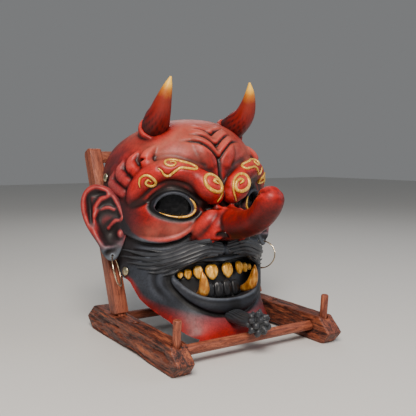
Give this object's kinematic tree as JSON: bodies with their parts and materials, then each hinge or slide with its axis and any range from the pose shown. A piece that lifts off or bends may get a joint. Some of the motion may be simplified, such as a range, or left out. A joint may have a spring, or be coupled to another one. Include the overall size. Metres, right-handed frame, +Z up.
{
  "type": "demon noh mask on display stand",
  "caption": "Leaning display stand of pegged hardwood holding a horned, long-nosed demon face mask with gold teeth, tusks and hoop earrings.",
  "frame": {"origin": "middle of the footprint, on the floor plane", "axes": "+Z up, the face looks along -Y, +X is the wearer's left"},
  "size_m": [0.2802, 0.2634, 0.3152],
  "materials": {
    "lacquered_resin": "red paint with a dark wash, satin",
    "gold_paint": "antique gold paint on resin",
    "gum_resin": "black paint, satin",
    "tuft_resin": "blue-black paint, satin",
    "smoked_lens": "smoked, glossy",
    "rivet_metal": "pale brass, aged",
    "hoop_metal": "silver-gold plated wire",
    "elastic": "woven black elastic",
    "stand_wood": "oiled hardwood",
    "bark_wood": "dark hardwood with a rough natural edge"
  },
  "bodies": {
    "stand": {"foot_left": "bark_wood", "foot_right": "bark_wood", "front_dowel": "stand_wood", "post_left": "stand_wood", "post_right": "stand_wood", "rear_dowel": "stand_wood", "top_rail": "stand_wood"},
    "peg_right": {"peg_right": "stand_wood"},
    "peg_left": {"peg_left": "stand_wood"},
    "earring_right": {"earring_right": "hoop_metal"},
    "earring_left": {"earring_left": "hoop_metal"},
    "mask": {"chin_tuft": "tuft_resin", "ear_left": "lacquered_resin", "ear_right": "lacquered_resin", "eye_lens_left": "smoked_lens", "eye_lens_right": "smoked_lens", "horn_left": "lacquered_resin", "horn_right": "lacquered_resin", "lower_gum": "gum_resin", "lower_strap": "elastic", "mask_shell": "lacquered_resin", "rivet_lower_left": "rivet_metal", "rivet_lower_right": "rivet_metal", "rivet_upper_left": "rivet_metal", "rivet_upper_right": "rivet_metal", "tusk_left": "gold_paint", "tusk_right": "gold_paint", "upper_gum": "gum_resin", "upper_strap": "elastic", "upper_tooth_left_1": "gold_paint", "upper_tooth_left_2": "gold_paint", "upper_tooth_left_3": "gold_paint", "upper_tooth_left_4": "gold_paint", "upper_tooth_right_1": "gold_paint", "upper_tooth_right_2": "gold_paint", "upper_tooth_right_3": "gold_paint", "upper_tooth_right_4": "gold_paint"}
  },
  "joints": [
    {"name": "mask_lift", "type": "slide", "parent": "stand", "child": "mask", "axis": [0, 0, 1], "range_m": [0, 0.3]},
    {"name": "peg_right_pull", "type": "slide", "parent": "stand", "child": "peg_right", "axis": [0, -0.0872, 0.9962], "range_m": [0, 0.03]},
    {"name": "peg_left_pull", "type": "slide", "parent": "stand", "child": "peg_left", "axis": [0, -0.0872, 0.9962], "range_m": [0, 0.03]},
    {"name": "earring_right_swing", "type": "hinge", "parent": "mask", "child": "earring_right", "pos_m": [-0.11172, 0.0422, 0.1049], "axis": [0.5556, 0.8031, -0.2152], "range_deg": [0, 11]},
    {"name": "earring_left_swing", "type": "hinge", "parent": "mask", "child": "earring_left", "pos_m": [0.11172, 0.0422, 0.1049], "axis": [0.5556, -0.8031, 0.2152], "range_deg": [0, 11]}
  ]
}
